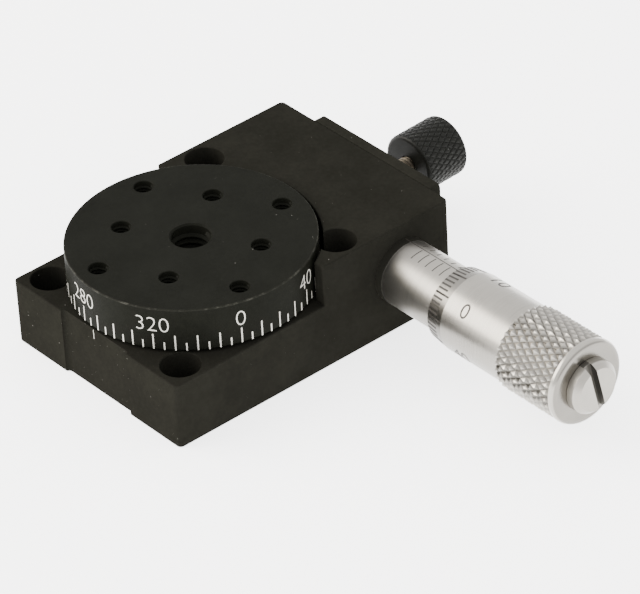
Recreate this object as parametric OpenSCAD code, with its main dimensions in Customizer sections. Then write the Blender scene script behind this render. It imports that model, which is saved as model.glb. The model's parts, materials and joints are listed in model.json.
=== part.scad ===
// Small rotation stage: a ball-bearing table turned coarsely by hand and finely by a
// micrometer that pushes a tangent arm. The arm is clamped to the table's hub by a
// knurled screw that leaves the base through a slot in its end plate.
// Frame: origin on the table's axis at the base's underside, +Z up, +X towards the
// clamp knob, and the micrometer points along -Y.

/* [Base block] */
// Side of the block to its mounting holes
side_edge = 2.5; // [2.3:0.1:4]
// Plain end of the block to its mounting holes
front_edge = 2.7; // [2.3:0.1:4]
// Rise of the block's raised half above the deck
head_rise = 4.6; // [4.2:0.1:6]
// Table axis to the step between deck and raised half
step_x = 6; // [3:0.5:9]
// Radius of the block's upright corners
block_corner_r = 0.5; // [0.3:0.1:1]
// Depth of the shallow recess in the plain end
end_recess_depth = 0.4; // [0.2:0.1:0.6]
// Width of the shallow recess in the plain end
end_recess_w = 10; // [6:0.5:14]

/* [Base mounting holes] */
// Spacing of the four mounting holes, square
mount_pitch = 20; // [18:0.5:22]
// Diameter of the mounting holes
mount_hole_d = 2.4; // [2.2:0.1:2.7]
// Diameter of the counterbores
mount_cbore_d = 4; // [3.8:0.1:4.4]
// Height of the counterbore floors above the underside
mount_cbore_floor = 3.4; // [2:0.1:4]

/* [Rotary table] */
// Pitch of the square grid of tapped holes
grid_pitch = 7.12; // [6.4:0.02:7.8]
// Angle of the grid of tapped holes
grid_angle = 33; // [0:1:90]
// Side of the block to the table's rim
table_inset = 0.1; // [0.05:0.05:0.5]
// Thickness of the table's rim
table_rim_h = 4.75; // [4.4:0.05:6]
// Gap between the deck and the table's underside
table_lift = 0.35; // [0.3:0.05:0.8]
// Gap between the table's rim and the round pocket in the raised half
table_side_gap = 0.4; // [0.3:0.05:0.8]
// Bevel on the table's top edge
table_bevel = 0.1; // [0.05:0.05:0.5]
// Drilled diameter of the tapped holes
tap_d = 1.6; // [1.2:0.1:1.8]
// Depth of the tapped holes
tap_depth = 3.8; // [2:0.1:4.2]
// Mouth diameter of the tapped holes
tap_mouth_d = 2.05; // [1.85:0.05:2.5]
// Drilled diameter of the centre thread
centre_tap_d = 3.3; // [2.5:0.1:3.6]
// Mouth diameter of the centre thread
centre_mouth_d = 4.3; // [3.8:0.1:4.8]
// Length of the centre thread
centre_tap_len = 6; // [4:0.5:8]

/* [Hub and ball bearing] */
// Diameter of the hub inside the tangent arm
hub_d = 9; // [8:0.1:10]
// Bore of the ball bearing
bearing_bore = 7; // [6.4:0.1:7.6]
// Outside diameter of the ball bearing
bearing_od = 13; // [12:0.1:14]
// Width of the ball bearing
bearing_w = 3; // [2.6:0.1:3.4]
// Diameter of the bearing's balls
ball_d = 1.6; // [1.4:0.05:1.8]
// Number of balls
ball_count = 10; // [7:1:12]
// Thickness of the threaded ring under the bearing
retainer_t = 0.88; // [0.7:0.02:1.2]
// Thickness of the housing's lip above the bearing
lip_t = 0.6; // [0.4:0.05:0.8]

/* [Tangent arm] */
// Angle of the arm from its middle position, counter-clockwise from above
arm_swing = 2.1; // [-4:0.1:4]
// Swing of the arm to either side of its middle position
arm_range = 5; // [4:0.5:6]
// Outside diameter of the arm's ring
arm_ring_d = 16; // [14.5:0.5:18]
// Thickness of the arm's ring and bar
arm_t = 2.4; // [2.2:0.1:2.8]
// Width of the arm
arm_w = 5.2; // [4.6:0.1:6]
// Gap between the table's rim and the arm's end block
arm_block_gap = 1; // [0.6:0.1:1.2]
// Micrometer axis to the outer end of the arm
arm_beyond = 3.06; // [2.6:0.02:3.6]
// Height of the arm's end block
arm_block_h = 4.6; // [4.1:0.1:5.1]
// Depth of the end block below the arm's underside
arm_block_drop = 0.35; // [0.2:0.05:0.4]
// Outer end of the arm to the end plate
arm_end_gap = 3.3; // [2:0.1:5]
// Thickness of the washer under the arm
washer_t = 0.48; // [0.4:0.02:0.6]
// Diameter of the anvil ball
anvil_d = 1.6; // [1.2:0.1:2]

/* [Micrometer] */
// Table axis to the micrometer's axis
mic_x = 15.94; // [15.2:0.02:17.6]
// Height of the micrometer's axis above the clamp screw's
mic_rise = 0.42; // [0.3:0.02:0.6]
// Diameter of the sleeve's stem in the block
stem_d = 6; // [5.2:0.1:6.6]
// Length of the stem in the block
stem_len = 5.5; // [4.5:0.1:6.2]
// Diameter of the graduated sleeve
sleeve_d = 6.92; // [6.2:0.02:7.8]
// Length of the graduated sleeve
sleeve_len = 13.5; // [12:0.5:15]
// Diameter of the spindle
spindle_d = 3.5; // [3:0.1:3.9]
// Block face to the thimble's front edge
thimble_gap = 8; // [7:0.1:9]
// Wall of the thimble at its front edge
thimble_nose_wall = 0.36; // [0.3:0.01:0.5]
// Rise of the thimble's bevel
thimble_bevel_rise = 0.31; // [0.2:0.01:0.5]
// Length of the thimble's bevel
thimble_bevel_len = 2.15; // [1.8:0.05:2.6]
// Length of the thimble's bevel and plain part together
thimble_plain_len = 10.15; // [9:0.05:11.4]
// Rise of the knurled part above the plain part
knurl_rise = 0.29; // [0.2:0.01:0.4]
// Length of the thimble
thimble_len = 18.3; // [16.2:0.1:20]
// Depth of the thimble's bore
thimble_bore_depth = 12.6; // [11.2:0.1:13.4]
// Rounding of the thimble's outer end
thimble_end_round = 0.55; // [0.3:0.05:0.8]
// Diameter of the thimble's slotted cap
cap_d = 5.6; // [5:0.1:6.6]
// Height of the thimble's slotted cap
cap_h = 1.4; // [0.9:0.01:1.6]
// Bevel of the cap's edge
cap_bevel = 0.44; // [0.2:0.02:0.6]
// Width of the cap's slot
cap_slot_w = 0.65; // [0.4:0.05:0.8]
// Depth of the cap's slot
cap_slot_depth = 0.85; // [0.4:0.01:0.9]
// Angle of the cap's slot
cap_slot_angle = 103; // [0:1:180]

/* [Return spring] */
// Diameter of the spring plug
plug_d = 4; // [3.6:0.1:4.6]
// Length of the spring plug
plug_len = 1.6; // [1.2:0.1:2]
// Diameter of the plunger
plunger_d = 3.2; // [2.8:0.1:3.5]
// Wall of the plunger round its spring
plunger_wall = 0.4; // [0.3:0.05:0.5]
// Diameter of the plunger's round nose
plunger_nose_d = 2.4; // [2:0.1:2.7]
// Length of the plunger's barrel
plunger_len = 3.2; // [2.6:0.1:3.6]
// Wire diameter of the return spring
wire_d = 0.35; // [0.25:0.05:0.4]
// Turns of the return spring
spring_turns = 6; // [5:1:7]

/* [Clamp] */
// Diameter of the clamp screw
clamp_screw_d = 2; // [1.8:0.1:2.3]
// Diameter of the clamp pin inside the arm
clamp_pin_d = 1.6; // [1.3:0.1:1.7]
// Gap between the end plate and the clamp knob
knob_gap = 5.3; // [4:0.1:7]
// Diameter of the clamp knob
knob_d = 6.5; // [5.6:0.1:7.2]
// Length of the clamp knob
knob_len = 5.4; // [4:0.05:6]
// Rounding of the knob's ends
knob_round = 0.45; // [0.2:0.05:0.6]
// Depth of the screw in the knob
knob_bore_len = 3.15; // [2.6:0.05:3.5]

/* [End plate] */
// Thickness of the end plate
plate_t = 1.25; // [1.1:0.05:1.6]
// Arm cavity to the plate's edge on the spring side
plate_land_back = 2.95; // [2.7:0.05:3.6]
// Arm cavity to the plate's edge on the micrometer side
plate_land_front = 5.25; // [4:0.05:6.4]
// Height of the plate's lower edge
plate_z0 = 0.9; // [0.5:0.1:1.2]
// Diameter of the plate's screws
plate_screw_d = 1.6; // [1.4:0.1:1.8]
// Head diameter of the plate's screws
plate_head_d = 3; // [2.6:0.1:3.3]
// Length of the plate's screws
plate_screw_len = 4.5; // [4:0.1:5]
// Heads of the plate's screws to the plate's edge
plate_screw_edge = 0.2; // [0.1:0.05:0.4]

/* [Hidden] */
$fn = 96;

// Clearances
running = 0.03;         // radial, shaft in its bore
contact = 0.02;         // parts that touch in use, such as spindle tip and anvil ball
plunger_contact = 0.05; // plunger's nose to the arm
thread_fit = 0.005;     // radial, screw in its tapped hole
foot_gap = 0.12;        // retainer and hub nut above the underside
under_table = 0.15;     // arm to the table's underside
swing_gap = 0.5;        // arm to the sides of its cavity
roof_gap = 0.35;        // arm's end block to the roof of its cavity
thimble_gap_r = 0.05;   // radial, thimble over sleeve
eps = 0.01;             // overlap of pieces that join
past = 1;               // overrun of a cut past a face

// Heights, stacked from the underside
bearing_z = foot_gap + retainer_t;
lip_z = bearing_z + bearing_w;
cavity_z = lip_z + lip_t;
arm_z = cavity_z + washer_t + contact;
arm_top = arm_z + arm_t;
arm_block_z = arm_z - arm_block_drop;
table_z = arm_top + under_table;
table_top = table_z + table_rim_h;
deck_h = table_z - table_lift;
head_h = deck_h + head_rise;
clamp_z = arm_z + arm_t / 2;
mic_z = clamp_z + mic_rise;
cavity_top = arm_block_z + arm_block_h + roof_gap;

// Table and block outline
block_w = mount_pitch + 2 * side_edge;
table_d = block_w - 2 * table_inset;
arm_block_x0 = table_d / 2 + arm_block_gap;
arm_end_x = mic_x + arm_beyond;
block_x0 = -mount_pitch / 2 - front_edge;
block_x1 = arm_end_x + arm_end_gap;

// Ball bearing
ball_pitch_r = (bearing_bore + bearing_od) / 4;
race_gap = 1.08;        // between the two races' walls
inner_race_r = ball_pitch_r - race_gap / 2;
outer_race_r = ball_pitch_r + race_gap / 2;
groove_gap = 0.02;
cage_t = 0.7;
cage_over_ball = 0.25;
bearing_mid_z = bearing_z + bearing_w / 2;
retainer_edge = 1;      // step from the bearing's seat to the retainer's
retainer_d = bearing_od + 2 * retainer_edge;
pin_hole_d = 0.8;
hub_end_wall = 0.5;     // step from the bearing's seat to the hub's threaded end
hub_end_d = bearing_bore - 2 * hub_end_wall;
nut_slot_w = 0.8;
nut_slot_depth = 0.3;
centre_relief = 0.5;

// Arm: everything is drawn with the arm in its middle position along +X
ring_swing_gap = 0.3;
arm_cavity_r = arm_ring_d / 2 + ring_swing_gap;
washer_edge = 0.3;
washer_bore_gap = 0.24;
arm_half = arm_w / 2;
arm_reach = arm_half * cos(arm_range) + arm_end_x * sin(arm_range);
cavity_half = arm_reach + swing_gap;
anvil_r = anvil_d / 2;
anvil_sink = 0.1;       // ball's centre inside the arm's side
anvil_y = anvil_sink - arm_half;

// Contact points, found from the arm's swing
anvil_now_y = anvil_y * cos(arm_swing) + mic_x * sin(arm_swing);
spindle_tip_y = anvil_now_y - anvil_r - contact;
nose_r = plunger_nose_d / 2;
nose_y = (arm_half + nose_r + plunger_contact + mic_x * sin(arm_swing)) / cos(arm_swing);

// Micrometer, measured outwards from the table's axis
face_d = block_w / 2;
sleeve_end = face_d + sleeve_len;
nut_seat_wall = 0.85;
nut_seat_d = spindle_d + 2 * nut_seat_wall;
adjust_nut_h = 2;
adjust_nut_inset = 0.15;
nut_slit_w = 0.3;
nut_seat_over = 0.4;
nut_key_hole_d = 0.4;
nut_key_hole_depth = 0.8;
thimble_front = face_d + thimble_gap;
thimble_back = thimble_front + thimble_len;
thimble_plain_end = thimble_front + thimble_plain_len;
thimble_bore_r = sleeve_d / 2 + thimble_gap_r;
thimble_nose_r = thimble_bore_r + thimble_nose_wall;
thimble_r = thimble_nose_r + thimble_bevel_rise;
knurl_r = thimble_r + knurl_rise;
cap_stem_step = 0.2;
cap_stem_d = spindle_d + 2 * cap_stem_step;
cap_stem_len = 1.6;
cap_stem_gap = 0.05;
spindle_end_gap = 0.1;
spindle_end = thimble_back - cap_stem_len - spindle_end_gap;
spindle_tip_step = 0.55;
spindle_tip_d = spindle_d - 2 * spindle_tip_step;
spindle_tip_len = 1.2;
set_screw_d = 2;
set_screw_hex = 0.9;
set_screw_hex_depth = 1;
set_screw_y = stem_len / 2 - face_d;
set_screw_z = 0.8;

// Return spring
plug_recess = 0.2;
plug_slot_w = 0.6;
plug_slot_depth = 0.6;
plug_y = face_d - plug_recess;
plug_inner_y = plug_y - plug_len;
plunger_neck = 0.9;
plunger_floor = 0.9;
plunger_y0 = nose_y + plunger_neck;
plunger_y1 = plunger_y0 + plunger_len;
plunger_bore_d = plunger_d - 2 * plunger_wall;
spring_y0 = plunger_y0 + plunger_floor;
spring_side_gap = 0.1;
spring_r = plunger_bore_d / 2 - wire_d / 2 - spring_side_gap;
spring_closed = 0.625;  // turns that lie flat at each end

// Clamp
pin_x0 = hub_d / 2 + contact;
pin_bore_land = 0.1;    // pin's bore ends this far before the arm's end block
pin_bore_end = arm_block_x0 - pin_bore_land;
screw_tip_reach = 0.2;
screw_tip_x = pin_bore_end - screw_tip_reach;
screw_shoulder_gap = 0.1;
screw_shoulder_x = pin_bore_end + screw_shoulder_gap;
pin_x1 = screw_tip_x - contact;
screw_tip_step = 0.05;
screw_tip_d = clamp_pin_d - 2 * screw_tip_step;

// End plate
plate_x1 = block_x1 + plate_t;
plate_y_back = cavity_half + plate_land_back;
plate_y_front = cavity_half + plate_land_front;
slot_gap = 0.35;
slot_half_h = clamp_screw_d / 2 + slot_gap;
slot_half_w = plate_x1 * sin(arm_range) + slot_half_h;
plate_screw_inset = plate_head_d / 2 + plate_screw_edge;
plate_screw_ys = [plate_y_back - plate_screw_inset, plate_screw_inset - plate_y_front];
plate_screw_zs = [plate_z0 + plate_screw_inset, head_h - plate_screw_inset];
plate_screw_recess = 0.05;
plate_hex_d = 1;
plate_hex_depth = 0.75;
drill_over = 0.3;
knob_x = plate_x1 + knob_gap;
screw_end_x = knob_x + knob_bore_len;

// ---- Helpers ---------------------------------------------------------------

// Cylinder from z0 to z1
module rod(r, z0, z1) {
    translate([0, 0, z0]) cylinder(r = r, h = z1 - z0);
}

// Ring from z0 to z1
module ring(r_out, r_in, z0, z1) {
    difference() {
        rod(r_out, z0, z1);
        rod(r_in, z0 - eps, z1 + eps);
    }
}

// Micrometer axis: local +Z runs outwards along -Y from the table's axis plane
module on_mic_axis() {
    translate([mic_x, 0, mic_z]) rotate([90, 0, 0]) children();
}

// Spring axis: local +Z runs outwards along +Y from the table's axis plane
module on_spring_axis() {
    translate([mic_x, 0, mic_z]) rotate([-90, 0, 0]) children();
}

// The arm's own frame, turned to where the arm stands
module on_arm() {
    rotate([0, 0, arm_swing]) children();
}

// Clamp axis: local +Z runs outwards along the arm
module on_clamp_axis() {
    on_arm() translate([0, 0, clamp_z]) rotate([0, 90, 0]) children();
}

// Plate screws' places: local +Z runs outwards along +X from the block's end
module at_plate_screws() {
    for (y = plate_screw_ys, z = plate_screw_zs)
        translate([block_x1, y, z]) rotate([0, 90, 0]) children();
}

// Outline with round corners, from (x0, y0) to (x1, y1)
module round_box(x0, x1, y0, y1, r) {
    translate([x0 + r, y0]) square([x1 - x0 - 2 * r, y1 - y0]);
    translate([x0, y0 + r]) square([x1 - x0, y1 - y0 - 2 * r]);
    for (x = [x0 + r, x1 - r], y = [y0 + r, y1 - r])
        translate([x, y]) circle(r);
}

// Centres of the table's tapped holes, without the middle one
function grid_points() = [
    for (u = [-1:1], v = [-1:1]) if (u != 0 || v != 0) [u * grid_pitch, v * grid_pitch]
];

// ---- Base ------------------------------------------------------------------

module housing_block() {
    difference() {
        linear_extrude(head_h)
            round_box(block_x0, block_x1, -block_w / 2, block_w / 2, block_corner_r);
        // deck: everything in front of the step, down to the deck's height
        translate([block_x0 - past, -block_w / 2 - past, deck_h])
            cube([step_x - block_x0 + past, block_w + 2 * past, head_h]);
        // round pocket for the table's rim
        rod(table_d / 2 + table_side_gap, deck_h, head_h + past);
        // shallow recess in the plain end, with hollow-ground sides
        translate([block_x0, 0, -past]) linear_extrude(deck_h + 2 * past) end_recess();
    }
}

// Outline of the end recess, from the end face inwards
module end_recess() {
    side = end_recess_w / 2 - end_recess_depth;
    translate([-past, -side]) square([past + end_recess_depth, 2 * side]);
    for (s = [-1, 1]) translate([0, s * side]) circle(end_recess_depth);
}

module housing_mount_holes() {
    for (x = [-1, 1], y = [-1, 1]) translate([x * mount_pitch / 2, y * mount_pitch / 2, 0]) {
        rod(mount_hole_d / 2, -past, mount_cbore_floor + eps);
        rod(mount_cbore_d / 2, mount_cbore_floor, head_h + past);
    }
}

module housing_arm_cavity() {
    rod(arm_cavity_r, cavity_z, deck_h + past);
    translate([0, -cavity_half, cavity_z])
        cube([block_x1 + past, 2 * cavity_half, cavity_top - cavity_z]);
}

module housing_bearing_bores() {
    rod(bearing_od / 2, bearing_z - eps, lip_z);
    rod(retainer_d / 2, -past, bearing_z);
    rod(outer_race_r, lip_z - eps, cavity_z + eps);
}

module housing() {
    color([0.13, 0.13, 0.12]) difference() {
        housing_block();
        housing_mount_holes();
        housing_arm_cavity();
        housing_bearing_bores();
        on_mic_axis() rod(stem_d / 2, cavity_half - past, face_d + past);
        on_spring_axis() {
            rod(plunger_d / 2 + running, cavity_half - past, plug_inner_y);
            rod(plug_d / 2, plug_inner_y - eps, face_d + past);
        }
        translate([mic_x, set_screw_y, 0]) rod(set_screw_d / 2, -past, mic_z);
        at_plate_screws() rod(plate_screw_d / 2, plate_t - plate_screw_len - drill_over, 1);
    }
}

module end_plate() {
    color([0.13, 0.13, 0.12]) difference() {
        translate([block_x1, 0, 0]) rotate([90, 0, 90]) linear_extrude(plate_t)
            round_box(-plate_y_front, plate_y_back, plate_z0, head_h, block_corner_r);
        // slot that lets the clamp screw swing with the arm
        translate([block_x1, 0, clamp_z]) rotate([0, 90, 0]) {
            for (s = [-1, 1]) translate([0, s * (slot_half_w - slot_half_h), 0])
                rod(slot_half_h, -past, plate_t + past);
            translate([-slot_half_h, slot_half_h - slot_half_w, -past])
                cube([2 * slot_half_h, 2 * (slot_half_w - slot_half_h), plate_t + 2 * past]);
        }
        at_plate_screws() {
            rod(plate_screw_d / 2, -past, plate_t + past);
            plate_screw_head(running);
        }
    }
}

// Countersunk head, flush with the plate
module plate_screw_head(gap) {
    cone_h = (plate_head_d - plate_screw_d) / 2;
    translate([0, 0, plate_t - cone_h])
        cylinder(r1 = plate_screw_d / 2 + gap, r2 = plate_head_d / 2 + gap, h = cone_h + eps);
}

module end_plate_screws() {
    head_z = plate_t - plate_screw_recess;
    color([0.2, 0.2, 0.2]) at_plate_screws() difference() {
        union() {
            rod(plate_screw_d / 2 - thread_fit, plate_t - plate_screw_len, head_z);
            intersection() {
                plate_screw_head(0);
                rod(plate_head_d, 0, head_z);
            }
        }
        translate([0, 0, plate_t - plate_hex_depth])
            cylinder(d = plate_hex_d, h = plate_hex_depth + past, $fn = 6);
    }
}

// ---- Ball bearing ----------------------------------------------------------

// Torus-shaped groove that the balls run in
module ball_groove() {
    translate([0, 0, bearing_mid_z]) rotate_extrude()
        translate([ball_pitch_r, 0]) circle(ball_d / 2 + groove_gap);
}

module bearing_outer_ring() {
    color([0.75, 0.76, 0.78]) difference() {
        ring(bearing_od / 2, outer_race_r, bearing_z, lip_z);
        ball_groove();
    }
}

module bearing_inner_ring() {
    color([0.75, 0.76, 0.78]) difference() {
        ring(inner_race_r, bearing_bore / 2, bearing_z, lip_z);
        ball_groove();
    }
}

module at_balls() {
    for (i = [0:ball_count - 1]) rotate([0, 0, i * 360 / ball_count])
        translate([ball_pitch_r, 0, bearing_mid_z]) children();
}

module bearing_balls() {
    color([0.85, 0.86, 0.88]) at_balls() sphere(ball_d / 2);
}

module bearing_cage() {
    half_h = ball_d / 2 + cage_over_ball;
    color([0.72, 0.58, 0.3]) difference() {
        ring(ball_pitch_r + cage_t / 2, ball_pitch_r - cage_t / 2,
             bearing_mid_z - half_h, bearing_mid_z + half_h);
        at_balls() sphere(ball_d / 2 + groove_gap);
    }
}

// Threaded ring that holds the outer race, with two holes for a pin spanner
module bearing_retainer() {
    color([0.2, 0.2, 0.2]) difference() {
        ring(retainer_d / 2, outer_race_r, foot_gap, bearing_z);
        for (a = [0, 180]) rotate([0, 0, a])
            translate([(retainer_d / 2 + outer_race_r) / 2, 0, 0])
                rod(pin_hole_d / 2, -past, bearing_z + past);
    }
}

// Ring nut that holds the inner race on the hub
module hub_nut() {
    color([0.2, 0.2, 0.2]) difference() {
        ring(inner_race_r, hub_end_d / 2, foot_gap, bearing_z);
        for (a = [0, 90]) rotate([0, 0, a]) translate([-bearing_od / 2, -nut_slot_w / 2, -past])
            cube([bearing_od, nut_slot_w, past + foot_gap + nut_slot_depth]);
    }
}

// ---- Micrometer ------------------------------------------------------------

module micrometer_sleeve() {
    color([0.8, 0.8, 0.82]) on_mic_axis() difference() {
        union() {
            rod(stem_d / 2, face_d - stem_len, face_d + eps);
            rod(sleeve_d / 2, face_d, sleeve_end);
            rod(nut_seat_d / 2, sleeve_end - eps, sleeve_end + adjust_nut_h + nut_seat_over);
        }
        rod(spindle_d / 2 + running, face_d - stem_len - past, sleeve_end + adjust_nut_h + past);
        // three slots let the nut close the threaded end on the spindle
        for (a = [0, 120, 240]) rotate([0, 0, a])
            translate([0, -nut_slit_w / 2, sleeve_end + nut_slit_w])
                cube([nut_seat_d, nut_slit_w, adjust_nut_h + past]);
    }
}

module adjusting_nut() {
    nut_r = sleeve_d / 2 - adjust_nut_inset;
    color([0.7, 0.7, 0.72]) on_mic_axis() difference() {
        ring(nut_r, nut_seat_d / 2, sleeve_end, sleeve_end + adjust_nut_h);
        // two holes for the nut's key
        for (a = [0, 180]) rotate([0, 0, a]) translate([(nut_r + nut_seat_d / 2) / 2, 0, 0])
            rod(nut_key_hole_d / 2, sleeve_end + adjust_nut_h - nut_key_hole_depth,
                sleeve_end + adjust_nut_h + past);
    }
}

module sleeve_set_screw() {
    stem_bottom = mic_z - stem_d / 2;
    color([0.2, 0.2, 0.2]) translate([mic_x, set_screw_y, 0]) difference() {
        rod(set_screw_d / 2 - thread_fit, set_screw_z, stem_bottom);
        translate([0, 0, set_screw_z - past])
            cylinder(d = set_screw_hex, h = past + set_screw_hex_depth, $fn = 6);
    }
}

module spindle() {
    color([0.82, 0.82, 0.84]) on_mic_axis() {
        rod(spindle_tip_d / 2, -spindle_tip_y, spindle_tip_len - spindle_tip_y + eps);
        rod(spindle_d / 2, spindle_tip_len - spindle_tip_y, spindle_end);
    }
}

// Half outline of the thimble: radius against distance from the table's axis plane
module thimble_profile() {
    hole_r = spindle_d / 2 + running;
    bore_end = thimble_front + thimble_bore_depth;
    difference() {
        union() {
            polygon([
                [thimble_bore_r, thimble_front], [thimble_nose_r, thimble_front],
                [thimble_r, thimble_front + thimble_bevel_len],
                [thimble_r, thimble_plain_end], [knurl_r, thimble_plain_end],
                [knurl_r, thimble_back - thimble_end_round],
                [knurl_r - thimble_end_round, thimble_back],
                [hole_r, thimble_back],
                [hole_r, bore_end], [thimble_bore_r, bore_end]
            ]);
            translate([knurl_r - thimble_end_round, thimble_back - thimble_end_round])
                circle(thimble_end_round);
        }
        translate([0, thimble_back - cap_stem_len])
            square([cap_stem_d / 2, cap_stem_len + past]);
    }
}

module thimble() {
    color([0.78, 0.78, 0.8]) on_mic_axis() rotate_extrude() thimble_profile();
}

module thimble_cap() {
    color([0.78, 0.78, 0.8]) on_mic_axis() difference() {
        union() {
            rod(cap_d / 2, thimble_back, thimble_back + cap_h - cap_bevel);
            translate([0, 0, thimble_back + cap_h - cap_bevel])
                cylinder(r1 = cap_d / 2, r2 = cap_d / 2 - cap_bevel, h = cap_bevel);
            rod(cap_stem_d / 2 - thread_fit, thimble_back - cap_stem_len + cap_stem_gap,
                thimble_back + eps);
        }
        rotate([0, 0, cap_slot_angle])
            translate([-cap_d, -cap_slot_w / 2, thimble_back + cap_h - cap_slot_depth])
                cube([2 * cap_d, cap_slot_w, cap_h]);
    }
}

// ---- Return spring ---------------------------------------------------------

module spring_plug() {
    color([0.25, 0.25, 0.25]) on_spring_axis() difference() {
        rod(plug_d / 2 - thread_fit, plug_inner_y, plug_y);
        translate([-plug_d, -plug_slot_w / 2, plug_y - plug_slot_depth])
            cube([2 * plug_d, plug_slot_w, plug_slot_depth + past]);
    }
}

module spring_plunger() {
    color([0.72, 0.58, 0.3]) on_spring_axis() difference() {
        union() {
            translate([0, 0, nose_y]) sphere(nose_r);
            rod(nose_r, nose_y, plunger_y0 + eps);
            rod(plunger_d / 2, plunger_y0, plunger_y1);
        }
        rod(plunger_bore_d / 2, spring_y0, plunger_y1 + past);
    }
}

// Point on the spring's centre line, t from 0 to 1, with closed ends
function spring_point(t) = let (
    run = plug_inner_y - spring_y0 - wire_d,
    closed = spring_closed / spring_turns,
    s = min(1, max(0, (t - closed) / (1 - 2 * closed))),
    a = 360 * spring_turns * t
) [spring_r * cos(a), spring_r * sin(a), spring_y0 + wire_d / 2 + run * s];

module return_spring() {
    sides = 8;
    steps = 16 * spring_turns;
    points = [
        for (i = [0:steps], k = [0:sides - 1]) let (
            c = spring_point(i / steps),
            a = 360 * spring_turns * i / steps,
            b = 360 * k / sides,
            w = wire_d / 2
        ) [c[0] + w * cos(b) * cos(a), c[1] + w * cos(b) * sin(a), c[2] + w * sin(b)]
    ];
    faces = [
        [for (k = [sides - 1:-1:0]) k],
        [for (k = [0:sides - 1]) steps * sides + k],
        for (i = [0:steps - 1], k = [0:sides - 1]) let (j = (k + 1) % sides) each [
            [i * sides + k, i * sides + j, (i + 1) * sides + j],
            [i * sides + k, (i + 1) * sides + j, (i + 1) * sides + k]
        ]
    ];
    color([0.7, 0.7, 0.72]) on_spring_axis() polyhedron(points, faces, convexity = 10);
}

// ---- Tangent arm -----------------------------------------------------------

module arm_washer() {
    color([0.72, 0.58, 0.3])
        ring(arm_ring_d / 2 - washer_edge, inner_race_r + washer_bore_gap,
             cavity_z, cavity_z + washer_t);
}

module tangent_arm() {
    color([0.5, 0.5, 0.52]) difference() {
        on_arm() union() {
            rod(arm_ring_d / 2, arm_z, arm_top);
            translate([0, -arm_half, arm_z]) cube([arm_end_x, arm_w, arm_t]);
            translate([arm_block_x0, -arm_half, arm_block_z])
                cube([arm_end_x - arm_block_x0, arm_w, arm_block_h]);
        }
        rod(hub_d / 2 + running, arm_z - past, arm_top + past);
        on_clamp_axis() {
            rod(clamp_pin_d / 2 + running, 0, pin_bore_end);
            rod(clamp_screw_d / 2 + running, pin_bore_end - eps, arm_end_x + past);
        }
        // seat that the anvil ball is pressed into
        on_arm() translate([mic_x, anvil_y, mic_z]) sphere(anvil_r);
    }
}

module anvil_ball() {
    color([0.85, 0.86, 0.88]) on_arm() translate([mic_x, anvil_y, mic_z]) sphere(anvil_r);
}

// ---- Table -----------------------------------------------------------------

module tapped_hole(drill_d, mouth_d, depth) {
    mouth_h = (mouth_d - drill_d) / 2;
    translate([0, 0, -depth]) cylinder(d = drill_d, h = depth + past);
    translate([0, 0, -mouth_h]) cylinder(d1 = drill_d, d2 = mouth_d + 2 * eps, h = mouth_h + eps);
}

module rotary_table() {
    color([0.14, 0.14, 0.13]) difference() {
        union() {
            rod(table_d / 2, table_z, table_top - table_bevel);
            translate([0, 0, table_top - table_bevel])
                cylinder(r1 = table_d / 2, r2 = table_d / 2 - table_bevel, h = table_bevel);
            rod(hub_d / 2, arm_z, table_z + eps);
            rod(inner_race_r, lip_z, arm_z + eps);
            rod(bearing_bore / 2, bearing_z, lip_z + eps);
            rod(hub_end_d / 2, foot_gap, bearing_z + eps);
        }
        translate([0, 0, table_top]) {
            tapped_hole(centre_tap_d, centre_mouth_d, centre_tap_len + eps);
            rotate([0, 0, grid_angle]) for (p = grid_points())
                translate([p[0], p[1], 0]) tapped_hole(tap_d, tap_mouth_d, tap_depth);
        }
        rod(centre_tap_d / 2 + centre_relief, -past, table_top - centre_tap_len);
    }
}

// ---- Clamp -----------------------------------------------------------------

// Brass pin with its inner end shaped to the hub
module clamp_pin() {
    color([0.75, 0.6, 0.3]) difference() {
        on_clamp_axis() rod(clamp_pin_d / 2, pin_x0 - past, pin_x1);
        rod(hub_d / 2 + contact, arm_z - past, arm_top + past);
    }
}

module clamp_screw() {
    color([0.7, 0.68, 0.62]) on_clamp_axis() {
        rod(screw_tip_d / 2, screw_tip_x, screw_shoulder_x + eps);
        rod(clamp_screw_d / 2, screw_shoulder_x, screw_end_x);
    }
}

module clamp_knob() {
    knob_r = knob_d / 2;
    color([0.1, 0.1, 0.1]) on_clamp_axis() difference() {
        rotate_extrude() {
            translate([0, knob_x]) square([knob_r - knob_round, knob_len]);
            translate([0, knob_x + knob_round]) square([knob_r, knob_len - 2 * knob_round]);
            for (x = [knob_x + knob_round, knob_x + knob_len - knob_round])
                translate([knob_r - knob_round, x]) circle(knob_round);
        }
        rod(clamp_screw_d / 2, knob_x - past, screw_end_x);
    }
}

// ---- Output ----------------------------------------------------------------

housing();
end_plate();
end_plate_screws();
bearing_outer_ring();
bearing_retainer();
micrometer_sleeve();
adjusting_nut();
sleeve_set_screw();
spring_plug();
return_spring();
arm_washer();
bearing_cage();
bearing_balls();
tangent_arm();
anvil_ball();
rotary_table();
bearing_inner_ring();
hub_nut();
spindle();
thimble();
thimble_cap();
spring_plunger();
clamp_pin();
clamp_screw();
clamp_knob();
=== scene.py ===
import json
import math
from contextlib import contextmanager

import bmesh
import bpy
from bpy.props import FloatProperty, FloatVectorProperty, IntProperty, PointerProperty
from mathutils import Matrix, Vector

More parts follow.
